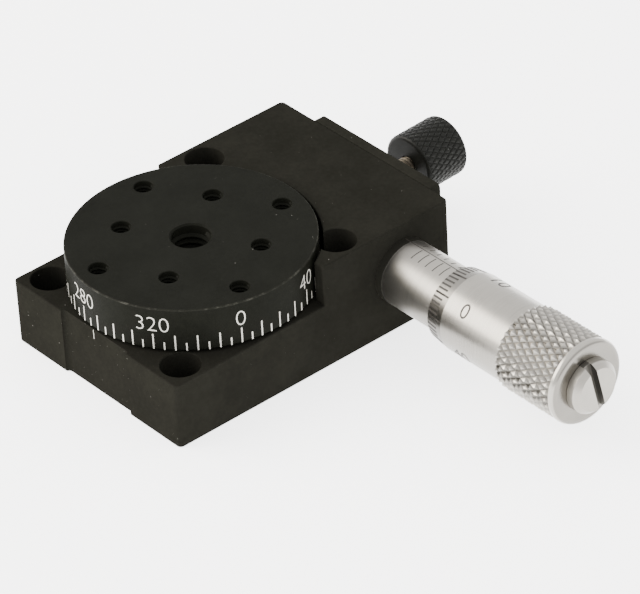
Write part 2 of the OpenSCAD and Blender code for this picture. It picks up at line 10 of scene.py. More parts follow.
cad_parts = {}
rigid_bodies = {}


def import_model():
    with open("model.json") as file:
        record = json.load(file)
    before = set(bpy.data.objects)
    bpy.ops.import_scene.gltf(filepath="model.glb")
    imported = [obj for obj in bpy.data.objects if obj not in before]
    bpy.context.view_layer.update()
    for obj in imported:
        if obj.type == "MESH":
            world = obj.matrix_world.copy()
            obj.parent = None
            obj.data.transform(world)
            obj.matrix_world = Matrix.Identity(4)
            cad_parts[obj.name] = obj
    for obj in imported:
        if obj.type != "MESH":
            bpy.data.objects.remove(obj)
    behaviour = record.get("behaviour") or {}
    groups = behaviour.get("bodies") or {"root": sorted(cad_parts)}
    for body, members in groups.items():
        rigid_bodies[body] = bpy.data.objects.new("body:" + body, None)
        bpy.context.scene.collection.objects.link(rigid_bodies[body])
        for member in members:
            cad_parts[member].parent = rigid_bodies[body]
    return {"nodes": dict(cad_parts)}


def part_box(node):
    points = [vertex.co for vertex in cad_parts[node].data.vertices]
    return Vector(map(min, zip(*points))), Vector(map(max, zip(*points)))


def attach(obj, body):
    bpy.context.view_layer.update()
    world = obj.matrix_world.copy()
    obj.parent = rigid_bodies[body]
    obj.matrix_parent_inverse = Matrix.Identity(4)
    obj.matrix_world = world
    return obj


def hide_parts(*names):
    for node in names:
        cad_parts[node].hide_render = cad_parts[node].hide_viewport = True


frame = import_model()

bl_info = {
    "name": "Rotation Stage",
    "version": (1, 0, 0),
    "blender": (4, 5, 0),
    "location": "3D View > Sidebar > Rotation Stage",
    "description": "Builds a small rotation stage with its micrometer, materials and studio",
    "category": "Add Mesh",
}

MM = 0.001
TAU = 2 * math.pi


# ---- Places taken from the frame, in millimetres ---------------------------

def corners(node):
    low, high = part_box(node)
    return low / MM, high / MM


BLOCK_LOW, BLOCK_HIGH = corners("housing")
PLATE_LOW, PLATE_HIGH = corners("end_plate")
TABLE_HIGH = corners("rotary_table")[1]
SLEEVE_LOW, SLEEVE_HIGH = corners("micrometer_sleeve")
THIMBLE_LOW, THIMBLE_HIGH = corners("thimble")
CAP_LOW, CAP_HIGH = corners("thimble_cap")

MIC_X = (SLEEVE_LOW.x + SLEEVE_HIGH.x) / 2
MIC_Z = (SLEEVE_LOW.z + SLEEVE_HIGH.z) / 2
TABLE_R = TABLE_HIGH.y
SLEEVE_R = (SLEEVE_HIGH.x - SLEEVE_LOW.x) / 2
GRIP_R = (THIMBLE_HIGH.x - THIMBLE_LOW.x) / 2
THIMBLE_END = -THIMBLE_LOW.y
CAP_R = (CAP_HIGH.x - CAP_LOW.x) / 2
CAP_END = -CAP_LOW.y


# ---- Other places and sizes, in millimetres and degrees --------------------

MERGE = 0.0005  # Vertices nearer than this are one
PAST = 1  # How far a cutter runs past the face it opens
SUNK = 0.03  # How deep a mark or a thread is bedded in its surface
PROUD = 0.008  # How far a mark stands out of it
SIGN_HALF, SIGN_SUNK = 0.015, 0.005  # Half a numeral's thickness, and how deep its middle lies

# Block
DECK, STEP_X = 7.3, 6.0
CORNER_R = 0.5
POCKET_R = 12.8
MOUNT_AT, MOUNT_R, MOUNT_SHELF, MOUNT_HEAD_R = 10, 1.2, 3.4, 2
NOTCH_HALF, NOTCH_DEPTH = 4.6, 0.4
CAVITY_HALF, CAVITY_LOW, CAVITY_HIGH, CAVITY_R = 4.746, 4.6, 9.7, 8.3
RETAINER_R, BEARING_R, BEARING_LOW, BEARING_HIGH, LIP_R = 7.5, 6.5, 1, 4, 5.54
SLEEVE_BORE_R = 3
SPRING_START, SPRING_R, PLUG_START, PLUG_R = 3.7, 1.63, 10.7, 2
SET_SCREW_Y, SET_SCREW_R = -9.75, 1

# End plate
PLATE_SLOT_HALF, PLATE_SLOT_R = 2.05, 1.35
PLATE_HOLE_IN, PLATE_HOLE_R, PLATE_HEAD_R, PLATE_HEAD_DEPTH = 1.7, 0.8, 1.53, 0.7

# Rotary table
RIM_LOW, RIM_CHAMFER, RIM_TOP_R = 7.65, 0.12, 0.1
HUB_LOW, SHOULDER_HIGH = 0.12, 5.1
HUB_R, SHOULDER_R, RING_SEAT_R, NUT_SEAT_R = 4.5, 4.46, 3.5, 3
CENTRE_R, CENTRE_RELIEF_R, CENTRE_START, CENTRE_LEAD = 1.98, 2.15, 6.4, 0.17
SMALL_R, SMALL_DEPTH, SMALL_LEAD, SMALL_POINT = 0.99, 3.8, 0.06, 0.3
HOLE_PITCH, HOLE_TURN = 7.12, 33
ZERO_MARK, MARK_LIFT, NUMERAL_GAP = -107.69, 0.03, 0.33

# Micrometer: heights are measured outwards along its axis
BEVEL_START, BEVEL_END, BEVEL_R, BARREL_R = 20.5, 22.6, 3.87, 4.18
GRIP_START, GRIP_BORE_R, GRIP_ROUND = 30.65, 3.9, 0.5
KNURL_PITCH, KNURL_ROWS, KNURL_END = 1.39, 7, 38.05
KNURL_TURN = 0.37  # degrees, which keep a knurl's edges clear of the facets it is cut with
THIMBLE_ZERO = 132.5
SLEEVE_MARK_START, SLEEVE_MARK_STEP, SLEEVE_MARKS = 15.3, 1.01, 6
COLLAR_END = 13.36
SLOT_ANGLE, SLOT_W, SLOT_DEPTH = 103, 0.8, 0.85

# Clamp
CLAMP_Z, ARM_SWING = 6.3, 2.1
KNOB_START, KNOB_END, KNOB_R, KNOB_ROUND = 28.85, 34.25, 3.25, 0.45
SHANK_START, SHANK_END, SHANK_CORE_R, SHANK_CREST_R = 12.9, 32, 0.84, 0.995

# Colours of coatings and dirt, and of a rim edge that is partly a painted highlight
DUST = (0.16, 0.155, 0.14)
KNOB_DUST = (0.15, 0.15, 0.14)
# Rim edge colour: partly wear, partly a painted highlight
RUBBED_AND_LIT_EDGE = (0.05, 0.049, 0.041)
COLLAR_BLACK = (0.0115, 0.0111, 0.0089)
INDEX_WHITE = (0.4, 0.39, 0.35)
SHANK_STEEL = (0.1, 0.085, 0.065)
BRASS = (0.62, 0.43, 0.17)

# Studio, in metres
LAMP_AT, LAMP_SIZE, LAMP_COLOUR = (-0.54, 0.57, 0.45), (0.75, 0.6), (1.0, 0.95, 0.87)
CAMERA_AT = (-0.227127, -0.299985, 0.272032)
CAMERA_RIGHT = (0.7544519, -0.6545852, -0.0481718)
CAMERA_UP = (0.4102346, 0.4129841, 0.8131123)
CAMERA_BACK = (-0.5123572, -0.6332159, 0.5801101)
CAMERA_LENS = 265.372


# ---- Working on one piece --------------------------------------------------

def focus(piece):
    """Makes a piece the only one selected, and active."""
    if bpy.context.object and bpy.context.object.mode != "OBJECT":
        bpy.ops.object.mode_set(mode="OBJECT")
    for other in bpy.context.view_layer.objects:
        other.select_set(other == piece)
    bpy.context.view_layer.objects.active = piece


@contextmanager
def editing(piece, kind="VERT"):
    """Edit mode on one piece, with nothing selected at first."""
    focus(piece)
    bpy.ops.object.mode_set(mode="EDIT")
    bpy.ops.mesh.select_mode(type=kind)
    bpy.ops.mesh.select_all(action="DESELECT")
    yield
    bpy.ops.object.mode_set(mode="OBJECT")


def pick(kind, wanted):
    """Selects the vertices, edges or faces that pass a test, in edit mode."""
    bpy.ops.mesh.select_mode(type=kind)
    bpy.ops.mesh.select_all(action="DESELECT")
    mesh = bpy.context.object.data
    work = bmesh.from_edit_mesh(mesh)
    items = {"VERT": work.verts, "EDGE": work.edges, "FACE": work.faces}[kind]
    for item in items:
        if wanted(item):
            item.select_set(True)
    work.select_flush_mode()
    bmesh.update_edit_mesh(mesh)


def select_everything():
    bpy.ops.mesh.select_all(action="SELECT")


def face_outwards():
    """Turns every normal of the piece outwards, in edit mode."""
    select_everything()
    bpy.ops.mesh.normals_make_consistent(inside=False)


def middle(edge):
    return (edge.verts[0].co + edge.verts[1].co) / 2


def apply_place(piece):
    focus(piece)
    bpy.ops.object.transform_apply(location=True, rotation=True, scale=True)
    return piece


def moved(piece, at=(0, 0, 0), turn=(0, 0, 0)):
    """Turns a piece about the origin, in degrees, then moves it, and fixes both in its mesh."""
    piece.rotation_euler = [math.radians(a) for a in turn]
    piece.location = at
    return apply_place(piece)


def copied(piece, at=(0, 0, 0), turn=(0, 0, 0)):
    focus(piece)
    bpy.ops.object.duplicate(linked=False)
    return moved(bpy.context.object, at, turn)


def joined(pieces):
    focus(pieces[0])
    for piece in pieces:
        piece.select_set(True)
    bpy.ops.object.join()
    return pieces[0]


def finish_with(piece, kind, **settings):
    """Adds a modifier, sets it and applies it."""
    focus(piece)
    step = piece.modifiers.new(kind.lower(), kind)
    for key, value in settings.items():
        setattr(step, key, value)
    bpy.ops.object.modifier_apply(modifier=step.name)
    return piece


def carve(piece, *cutters, how="DIFFERENCE"):
    """Cuts a piece with other closed solids, which are used up."""
    for cutter in cutters:
        finish_with(piece, "BOOLEAN", object=cutter, operation=how, solver="EXACT")
        bpy.data.objects.remove(cutter)
    return piece


def repeated(piece, count, step_degrees):
    """Copies of a piece round the Z axis."""
    bpy.ops.object.empty_add()
    pointer = bpy.context.object
    pointer.rotation_euler.z = math.radians(step_degrees)
    bpy.context.view_layer.update()
    finish_with(piece, "ARRAY", count=count, use_relative_offset=False, use_object_offset=True,
                offset_object=pointer)
    bpy.data.objects.remove(pointer)
    return piece


def smooth(piece, degrees=35):
    focus(piece)
    bpy.ops.object.shade_smooth_by_angle(angle=math.radians(degrees))
    return finish_with(piece, "WEIGHTED_NORMAL", weight=100, keep_sharp=True)


# ---- Starting shapes -------------------------------------------------------

def arc(centre, radius, start, end, steps):
    """Points of a rounding in a half outline."""
    angles = [math.radians(start + (end - start) * i / steps) for i in range(steps + 1)]
    return [(centre[0] + radius * math.cos(a), centre[1] + radius * math.sin(a)) for a in angles]


def turned(outline, sides=128):
    """A solid of revolution about Z from a half outline of (radius, height) points."""
    bpy.ops.mesh.primitive_plane_add(size=1)
    piece = bpy.context.object
    with editing(piece):
        select_everything()
        bpy.ops.mesh.merge(type="CENTER")
        last = outline[0]
        bpy.ops.transform.translate(value=(last[0], 0, last[1]))
        for point in outline[1:]:
            step = (point[0] - last[0], 0, point[1] - last[1])
            bpy.ops.mesh.extrude_region_move(TRANSFORM_OT_translate={"value": step})
            last = point
        select_everything()
        bpy.ops.mesh.spin(steps=sides, angle=TAU, center=(0, 0, 0), axis=(0, 0, 1))
        select_everything()
        bpy.ops.mesh.remove_doubles(threshold=MERGE)
        face_outwards()
    return piece


def slab(low, high):
    """A block between two corners, as a start for shaping or as a cutter."""
    low, high = Vector(low), Vector(high)
    bpy.ops.mesh.primitive_cube_add(size=1, location=(low + high) / 2, scale=high - low)
    return apply_place(bpy.context.object)


def bar(radius, start, end, sides=64):
    """A cutter round Z, from one height to another."""
    return turned([(0, start), (radius, start), (radius, end), (0, end)], sides)


def thread(root, crest, pitch, turns, start, steps):
    """A helical ridge about Z, standing on a wall at the root radius."""
    bpy.ops.mesh.primitive_plane_add(size=1)
    ridge = bpy.context.object
    foot = root - math.copysign(SUNK, crest - root)
    shape = [(foot, 0.45), (foot, -0.45), (crest, 0.06), (crest, -0.06)]
    for vertex, (r, z) in zip(ridge.data.vertices, shape):
        vertex.co = (r, 0, start + z * pitch)
    finish_with(ridge, "SCREW", angle=TAU, screw_offset=pitch, iterations=turns, steps=steps,
                render_steps=steps, use_merge_vertices=False)
    with editing(ridge):
        select_everything()
        bpy.ops.mesh.remove_doubles(threshold=MERGE)
        bpy.ops.mesh.fill_holes(sides=0)
        face_outwards()
    return ridge


def knurled(root, depth, around, pitch, rows, start, land):
    """A round bar with a diamond knurl: pyramids standing on a mesh of crossing grooves."""
    bpy.ops.mesh.primitive_circle_add(vertices=around, radius=root, location=(0, 0, start))
    roller = apply_place(bpy.context.object)
    with editing(roller):
        select_everything()
        for _ in range(rows):
            bpy.ops.mesh.extrude_region_move(TRANSFORM_OT_translate={"value": (0, 0, pitch)})
        face_outwards()
        bpy.ops.mesh.poke()

        def upright_or_level(edge):
            rise = abs(edge.verts[0].co.z - edge.verts[1].co.z)
            return not edge.is_boundary and (rise < 0.01 * pitch or rise > 0.9 * pitch)

        pick("EDGE", upright_or_level)
        bpy.ops.mesh.dissolve_edges(use_verts=False)
        pick("FACE", lambda face: len(face.verts) == 4)
        bpy.ops.mesh.inset(thickness=land, depth=depth, use_individual=True)
        bpy.ops.mesh.poke(offset=0.12 * depth)
        pick("EDGE", lambda edge: edge.is_boundary)
        bpy.ops.mesh.edge_face_add()
        face_outwards()
    return roller


def numeral(words, height, thin):
    """Flat lettering, closed and centred on the XY plane, and cut into strips so that it bends."""
    bpy.ops.object.text_add()
    text = bpy.context.object
    text.data.body = words
    text.data.resolution_u = 5
    text.data.offset = -thin
    text.data.extrude = SIGN_HALF
    focus(text)
    bpy.ops.object.convert(target="MESH")
    piece = bpy.context.object
    xs = [v.co.x for v in piece.data.vertices]
    ys = [v.co.y for v in piece.data.vertices]
    scale = height / (max(ys) - min(ys))
    piece.scale = (scale, scale, 1)
    piece.location = (-scale * (max(xs) + min(xs)) / 2, -scale * (max(ys) + min(ys)) / 2, 0)
    apply_place(piece)
    strip = 0.22 * height
    with editing(piece):
        select_everything()
        bpy.ops.mesh.remove_doubles(threshold=MERGE)
        for i in range(-4, 5):
            for axis in ((1, 0, 0), (0, 1, 0)):
                select_everything()
                bpy.ops.mesh.bisect(plane_co=[i * strip * a for a in axis], plane_no=axis)
    return piece


def wrapped(piece, radius, angle, height, upright=True):
    """Lays flat lettering on a cylinder about Z: upright, or its top towards smaller angles."""
    for vertex in piece.data.vertices:
        x, y, z = vertex.co
        a = math.radians(angle) + (x if upright else -y) / radius
        along = y if upright else x
        r = radius + z
        vertex.co = (r * math.cos(a), r * math.sin(a), height + along)
    return piece


def arc_mark(radius, start, end, from_angle, to_angle):
    """A thin raised mark along part of a circle about Z, between two heights."""
    bpy.ops.mesh.primitive_plane_add(size=1)
    mark = bpy.context.object
    low, high = radius - SUNK, radius + PROUD
    spots = [(low, start), (high, start), (low, end), (high, end)]
    for vertex, (r, z) in zip(mark.data.vertices, spots):
        vertex.co = (r, 0, z)
    with editing(mark):
        select_everything()
        steps = max(2, round((to_angle - from_angle) / 4))
        bpy.ops.mesh.spin(steps=steps, angle=math.radians(from_angle - to_angle),
                          center=(0, 0, 0), axis=(0, 0, 1))
        select_everything()
        bpy.ops.mesh.remove_doubles(threshold=MERGE / 5)
        face_outwards()
    return moved(mark, turn=(0, 0, from_angle))


def settle(piece, name, body, slot, finish, *nodes):
    """Scales a piece from millimetres to its real size, names it and hands it to its body."""
    piece.scale = (MM, MM, MM)
    apply_place(piece)
    piece.name = piece.data.name = name
    piece.data.materials.clear()
    piece.data.materials.append(finish)
    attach(piece, body)
    if nodes:
        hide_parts(*nodes)
    return piece


def on_micrometer(piece):
    return moved(piece, (MIC_X, 0, MIC_Z), (90, 0, 0))


def on_clamp(piece):
    moved(piece, (0, 0, 0), (0, 90, 0))
    return moved(piece, (0, 0, CLAMP_Z), (0, 0, ARM_SWING))


# ---- Materials -------------------------------------------------------------

class Wire:
    """One output of a material's nodes; arithmetic on it adds Math nodes."""

    def __init__(self, tree, socket=None):
        self.tree = tree
        self.socket = socket

    def node(self, kind, settings, sockets, out=0):
        """Adds a node: its settings first, then the values or links of its sockets."""
        made = self.tree.nodes.new("ShaderNode" + kind)
        for key, value in settings.items():
            setattr(made, key, value)
        for key, value in sockets.items():
            socket = made.inputs[key]
            if isinstance(value, Wire):
                self.tree.links.new(value.socket, socket)
            elif isinstance(value, tuple) and len(socket.default_value) > len(value):
                socket.default_value = (*value, 1)
            else:
                socket.default_value = value
        return Wire(self.tree, made.outputs[out])

    def _math(self, operation, *values):
        return self.node("Math", {"operation": operation}, dict(enumerate(values)))

    def __add__(self, other):
        return self._math("ADD", self, other)

    __radd__ = __add__

    def __mul__(self, other):
        return self._math("MULTIPLY", self, other)

    __rmul__ = __mul__

    def __sub__(self, other):
        return self._math("SUBTRACT", self, other)

    def __rsub__(self, other):
        return self._math("SUBTRACT", other, self)

    def __pow__(self, other):
        return self._math("POWER", self, other)

    def __lt__(self, other):
        return self._math("LESS_THAN", self, other)

    def __gt__(self, other):
        return self._math("GREATER_THAN", self, other)

    def __abs__(self):
        return self._math("ABSOLUTE", self)

    def ramp(self, low, high):
        """0 below low and 1 above high, smoothly between."""
        return self.node("MapRange", {"interpolation_type": "SMOOTHSTEP"},
                         {"Value": self, "From Min": low, "From Max": high})

    def mix(self, first, second):
        """Colours mixed by this wire, from first at 0 to second at 1."""
        return self.node("Mix", {"data_type": "RGBA"}, {0: self, 6: first, 7: second}, out=2)

    def parts(self):
        """X, Y and Z of a vector."""
        return tuple(self.node("SeparateXYZ", {}, {0: self}, out=i) for i in range(3))


class Finish:
    """A material with its object coordinates in millimetres, and the shader at its end."""

    def __init__(self, name):
        self.material = bpy.data.materials.new(name)
        self.material.use_nodes = True
        self.tree = self.material.node_tree
        self.shader = self.tree.nodes["Principled BSDF"]
        self.wire = Wire(self.tree)
        place = self.wire.node("TexCoord", {}, {}, out=3)
        self.place = self.wire.node("Mapping", {}, {"Vector": place, "Scale": (1 / MM,) * 3})

    def stretched(self, scale, at=(0, 0, 0), turn=(0, 0, 0)):
        """The coordinates moved to a centre, turned in degrees, and scaled along each axis."""
        shifted = self.wire.node("VectorMath", {"operation": "SUBTRACT"},
                                 {0: self.place, 1: at})
        return self.wire.node("Mapping", {}, {
            "Vector": shifted, "Rotation": tuple(math.radians(a) for a in turn), "Scale": scale})

    def noise(self, scale, detail=3.0, roughness=0.5, where=None):
        return self.wire.node("TexNoise", {}, {"Vector": where or self.place, "Scale": scale,
                                               "Detail": detail, "Roughness": roughness})

    def specks(self, scale, size, share):
        """1 on small dust specks, of which only a share is kept."""
        cells = {"Vector": self.place, "Scale": scale}
        near = self.wire.node("TexVoronoi", {}, cells)
        colour = self.wire.node("TexVoronoi", {}, cells, out=1)
        return (near < size) * (colour.parts()[0] < share)

    def bump(self, height, strength, distance):
        return self.wire.node("Bump", {}, {"Height": height, "Strength": strength,
                                           "Distance": distance})

    def set(self, **values):
        """Constants and links on the shader's sockets."""
        for key, value in values.items():
            socket = self.shader.inputs[key.replace("_", " ")]
            if isinstance(value, Wire):
                self.tree.links.new(value.socket, socket)
            elif isinstance(value, tuple):
                socket.default_value = (*value, 1)
            else:
                socket.default_value = value
        return self.material


def lighter(colour, factor):
    return tuple(min(1.0, c * factor) for c in colour)


def anodised(name, colour, rough, gloss=0.0, worn_and_lit=None):
    """Bead-blasted and black-anodised aluminium, with faint cloudiness and a few dust specks."""
    coat = Finish(name)
    cloud = coat.noise(0.25, 4, 0.6)
    mottle = coat.noise(2.2, 5, 0.65)
    grain = coat.noise(14, 6, 0.7)
    fine = coat.noise(38, 2, 0.6)
    tone = (cloud * 0.35 + mottle * 0.3 + grain * 0.35).ramp(0.36, 0.66)
    base = tone.mix(lighter(colour, 0.8), lighter(colour, 1.2))
    dust = coat.specks(1.1, 0.045, 0.10) + coat.specks(2.6, 0.05, 0.035)
    base = dust.ramp(0, 1).mix(base, DUST)
    # A lighter edge: partly wear, partly a painted highlight
    if worn_and_lit:
        base = worn_and_lit(coat).mix(base, RUBBED_AND_LIT_EDGE)
    bumpy = coat.bump(grain * 0.6 + fine * 0.6 + mottle * 0.3, 0.55, 0.00002)
    return coat.set(Base_Color=base, Metallic=0.0, Specular_IOR_Level=gloss,
                    Roughness=rough + 0.16 * (mottle - 0.5) + 0.1 * (grain - 0.5), Normal=bumpy)


def turned_metal(name, colour, rough, axis, at, rings=0.5, haze=0.5, shadow=None, collar=None):
    """Lathe-turned metal: fine rings round an axis and slight stains.

    The shadow is where shade is painted in by darkening, the collar where it is blackened.
    """
    metal = Finish(name)
    where = metal.stretched(tuple(1 if a == axis else 0.02 for a in "XYZ"), at)
    fine = metal.noise(42, 3, 0.7, where)
    broad = metal.noise(5, 3, 0.5, where)
    stain = metal.noise(0.5, 4, 0.6)
    grain = metal.noise(30, 3, 0.6)
    tone = (fine * 0.35 + broad * 0.35 + stain * 0.3).ramp(0.3, 0.7)
    base = tone.mix(lighter(colour, 0.9), lighter(colour, 1.06))
    # Painted shade: the colour darkened where the shadow mask is
    if shadow:
        base = shadow(metal).mix(base, lighter(colour, 0.12))
    metallic = 1.0
    if collar:
        metallic = 1 - collar(metal)
        base = metallic.mix(COLLAR_BLACK, base)
    bumpy = metal.bump(fine * rings + broad * 0.3 * rings + grain * haze, 0.35, 0.000008)
    return metal.set(Base_Color=base, Metallic=metallic, Specular_IOR_Level=0.02,
                     Roughness=rough + 0.08 * (stain - 0.5) + 0.1 * (fine - 0.5), Normal=bumpy)


def milled_metal(name, colour, rough):
    """Milled or drawn metal with soft cutter marks and a little grime."""
    metal = Finish(name)
    marks = metal.noise(6, 3, 0.6, metal.stretched((1, 0.15, 1), turn=(0, 0, 20)))
    stain = metal.noise(0.8, 4, 0.6)
    grain = metal.noise(26, 4, 0.65)
    tone = (marks * 0.4 + stain * 0.35 + grain * 0.25).ramp(0.3, 0.7)
    base = tone.mix(lighter(colour, 0.8), lighter(colour, 1.12))
    bumpy = metal.bump(marks * 0.6 + grain * 0.5, 0.4, 0.00001)
    return metal.set(Base_Color=base, Metallic=1.0, Roughness=rough + 0.2 * (stain - 0.5),
                     Normal=bumpy)


def blackened(name, colour, rough=0.42):
    """Oil-blackened steel: near black, slightly metallic, with lighter rubbed spots."""
    steel = Finish(name)
    rub = steel.noise(1.6, 5, 0.7).ramp(0.5, 0.78)
    grain = steel.noise(18, 4, 0.65)
    base = (rub * 0.6 + grain * 0.2).mix(lighter(colour, 0.8), lighter(colour, 2.6))
    base = steel.specks(1.5, 0.06, 0.12).mix(base, KNOB_DUST)
    return steel.set(Base_Color=base, Metallic=0.1, Specular_IOR_Level=0.1,
                     Roughness=rough + 0.2 * (grain - 0.5), Normal=steel.bump(grain, 0.4, 0.00001))


def marking(name, colour, uneven):
    """Filled engraving, slightly uneven in cover."""
    paint = Finish(name)
    cover = paint.noise(7, 4, 0.7).ramp(0.25, 0.65)
    grain = paint.noise(40, 2)
    base = cover.mix(lighter(colour, 1 - uneven), colour)
    return paint.set(Base_Color=base, Roughness=0.6 + 0.15 * (grain - 0.5),
                     Normal=paint.bump(grain, 0.3, 0.000005))


# ---- Settings --------------------------------------------------------------

def length(name, description, default, low, high):
    """A length setting, given in millimetres and kept in metres."""
    return FloatProperty(name=name, description=description, default=default * MM, min=low * MM,
                         max=high * MM, unit="LENGTH", precision=5)


def shade(name, description, default):
    return FloatVectorProperty(name=name, description=description, default=default, min=0, max=1,
                               size=3, subtype="COLOR")


def count(name, description, default, low, high):
    return IntProperty(name=name, description=description, default=default, min=low, max=high)


def level(name, description, default, high):
    return FloatProperty(name=name, description=description, default=default, min=0, max=high)


class BaseSettings(bpy.types.PropertyGroup):
    edge_round: length("Edge rounding", "Radius along the block's edges", 0.16, 0.05, 0.3)
    rim_break: length("Hole edge break", "Small bevel at the mouths of holes", 0.08, 0.02, 0.2)
    colour: shade("Anodising", "Colour of the block and end plate", (0.0107, 0.0104, 0.0084))


class TableSettings(bpy.types.PropertyGroup):
    mark_width: length("Mark width", "Width of the degree marks", 0.15, 0.1, 0.3)
    long_mark: length("Long mark", "Length of the marks every ten degrees", 1.72, 1, 2)
    short_mark: length("Short mark", "Length of the marks between them", 0.88, 0.5, 1)
    numeral_height: length("Numeral height", "Height of the degree numerals", 1.62, 1, 2)
    numeral_step: count("Numeral step", "Degrees from numeral to numeral", 40, 10, 90)
    colour: shade("Anodising", "Colour of the rotary table", (0.0067, 0.0069, 0.0053))
    paint: shade("Paint", "Colour of the degree marks", (0.5, 0.485, 0.44))


class MicrometerSettings(bpy.types.PropertyGroup):
    divisions: count("Divisions", "Divisions round the thimble", 50, 10, 100)
    knurl_count: count("Knurl count", "Diamonds round the thimble's grip", 34, 16, 60)
    knurl_depth: length("Knurl depth", "Depth of the grooves", 0.24, 0.1, 0.35)
    colour: shade("Chrome", "Colour of the satin chrome", (0.28, 0.265, 0.238))
    ink: shade("Ink", "Colour of the micrometer's marks", (0.012, 0.0085, 0.0045))


class ClampSettings(bpy.types.PropertyGroup):
    knurl_count: count("Knurl count", "Diamonds round the knob", 30, 16, 60)
    knurl_depth: length("Knurl depth", "Depth of the grooves", 0.11, 0.05, 0.3)
    colour: shade("Black", "Colour of the knob", (0.0052, 0.0053, 0.0042))


class StudioSettings(bpy.types.PropertyGroup):
    sky: level("Sky", "Strength of the even light all round", 2.6, 5)
    key: level("Key light", "Power of the soft light at the left and behind", 15, 100)
    glow: level("Floor glow", "Light from the floor's own lit panel", 2.8, 10)
    floor: shade("Floor", "Colour of the floor", (0.93, 0.93, 0.93))


class RotationStageSettings(bpy.types.PropertyGroup):
    base: PointerProperty(type=BaseSettings)
    table: PointerProperty(type=TableSettings)
    micrometer: PointerProperty(type=MicrometerSettings)
    clamp: PointerProperty(type=ClampSettings)
    studio: PointerProperty(type=StudioSettings)


def settings():
    return bpy.context.scene.rotation_stage


# ---- Base ------------------------------------------------------------------

def edge_bevelled(piece, width, segments, wanted):
    """Rounds the sharp outer edges that pass a test."""
    with editing(piece, "EDGE"):
        pick("EDGE", wanted)
        bpy.ops.mesh.bevel(offset=width, segments=segments, affect="EDGES", clamp_overlap=True)
    return piece


def sharp(edge):
    return len(edge.link_faces) == 2 and edge.calc_face_angle_signed() > math.radians(60)


def reach(edge, axis):
    """How far an edge runs along one axis."""
    return abs(edge.verts[0].co[axis] - edge.verts[1].co[axis])


def block_body(size):
    low, high = BLOCK_LOW, BLOCK_HIGH
    block = slab(low, (high.x, high.y, DECK))
    with editing(block, "FACE"):
        select_everything()
        bpy.ops.mesh.bisect(plane_co=(STEP_X, 0, 0), plane_no=(1, 0, 0))
        pick("FACE", lambda f: f.normal.z > 0.9 and f.calc_center_median().x > STEP_X)
        bpy.ops.mesh.extrude_region_move(TRANSFORM_OT_translate={"value": (0, 0, high.z - DECK)})
        face_outwards()
        bpy.ops.mesh.dissolve_limited(angle_limit=math.radians(1))
    edge_bevelled(block, CORNER_R, 6,
                  lambda e: sharp(e) and abs(middle(e).x - STEP_X) > 1 and reach(e, 2) > 1)
    edge_bevelled(block, size.edge_round / MM, 4, sharp)
    return block


def base_cutters(size):
    """The table's pocket, the holes, the notch, the arm's cavity and the bores, as cutters."""
    rim = size.rim_break / MM
    low, high = BLOCK_LOW, BLOCK_HIGH
    yield turned([(0, DECK), (POCKET_R, DECK), (POCKET_R, high.z - rim), (POCKET_R + rim, high.z),
                  (POCKET_R + rim, high.z + PAST), (0, high.z + PAST)], 160)
    for x, top in ((-MOUNT_AT, DECK), (MOUNT_AT, high.z)):
        for y in (-MOUNT_AT, MOUNT_AT):
            hole = turned([(0, -PAST), (MOUNT_R + rim, -PAST), (MOUNT_R + rim, 0), (MOUNT_R, rim),
                           (MOUNT_R, MOUNT_SHELF), (MOUNT_HEAD_R, MOUNT_SHELF),
                           (MOUNT_HEAD_R, top - rim), (MOUNT_HEAD_R + rim, top),
                           (MOUNT_HEAD_R + rim, top + PAST), (0, top + PAST)], 64)
            yield moved(hole, (x, y, 0))
    yield slab((low.x - PAST, -NOTCH_HALF, -PAST), (low.x + NOTCH_DEPTH, NOTCH_HALF, DECK + PAST))
    for side in (-NOTCH_HALF, NOTCH_HALF):
        yield moved(bar(NOTCH_DEPTH, -PAST, DECK + PAST, 32), (low.x, side, 0))
    yield slab((0, -CAVITY_HALF, CAVITY_LOW), (high.x + PAST, CAVITY_HALF, CAVITY_HIGH))
    yield bar(CAVITY_R, CAVITY_LOW, DECK + PAST, 96)
    yield turned([(0, -PAST), (RETAINER_R + rim, -PAST), (RETAINER_R + rim, 0), (RETAINER_R, rim),
                  (RETAINER_R, BEARING_LOW), (BEARING_R, BEARING_LOW), (BEARING_R, BEARING_HIGH),
                  (LIP_R, BEARING_HIGH), (LIP_R, BEARING_HIGH + PAST),
                  (0, BEARING_HIGH + PAST)], 96)
    yield on_micrometer(bar(SLEEVE_BORE_R, CAVITY_HALF - PAST, high.y + PAST, 64))
    plug = turned([(0, SPRING_START), (SPRING_R, SPRING_START), (SPRING_R, PLUG_START),
                   (PLUG_R, PLUG_START), (PLUG_R, high.y - rim), (PLUG_R + rim, high.y),
                   (PLUG_R + rim, high.y + PAST), (0, high.y + PAST)], 64)
    yield moved(plug, (MIC_X, 0, MIC_Z), (-90, 0, 0))
    screw = turned([(0, -PAST), (SET_SCREW_R + rim, -PAST), (SET_SCREW_R + rim, 0),
                    (SET_SCREW_R, rim), (SET_SCREW_R, MIC_Z), (0, MIC_Z)], 48)
    yield moved(screw, (MIC_X, SET_SCREW_Y, 0))


def index_line(white):
    """The line on the notch's floor that the degrees are read at."""
    floor = BLOCK_LOW.x + NOTCH_DEPTH
    line = slab((floor - 0.04, 0.36, DECK - 1.15), (floor + 0.012, 0.44, DECK - 0.1))
    edge_bevelled(line, 0.01, 2, sharp)
    return settle(line, "index_line", "base", "block_anodised", white)


def stadium(half_length, radius, start, end):
    """A cutter along Z for a slot with round ends along Y."""
    bpy.ops.mesh.primitive_circle_add(vertices=48, radius=radius, location=(0, 0, start))
    slot = apply_place(bpy.context.object)
    with editing(slot):
        for way in (-1, 1):
            pick("VERT", lambda v: v.co.y * way > 0.001)
            bpy.ops.transform.translate(value=(0, way * half_length, 0))
        select_everything()
        bpy.ops.mesh.edge_face_add()
        bpy.ops.mesh.extrude_region_move(TRANSFORM_OT_translate={"value": (0, 0, end - start)})
        face_outwards()
    return slot


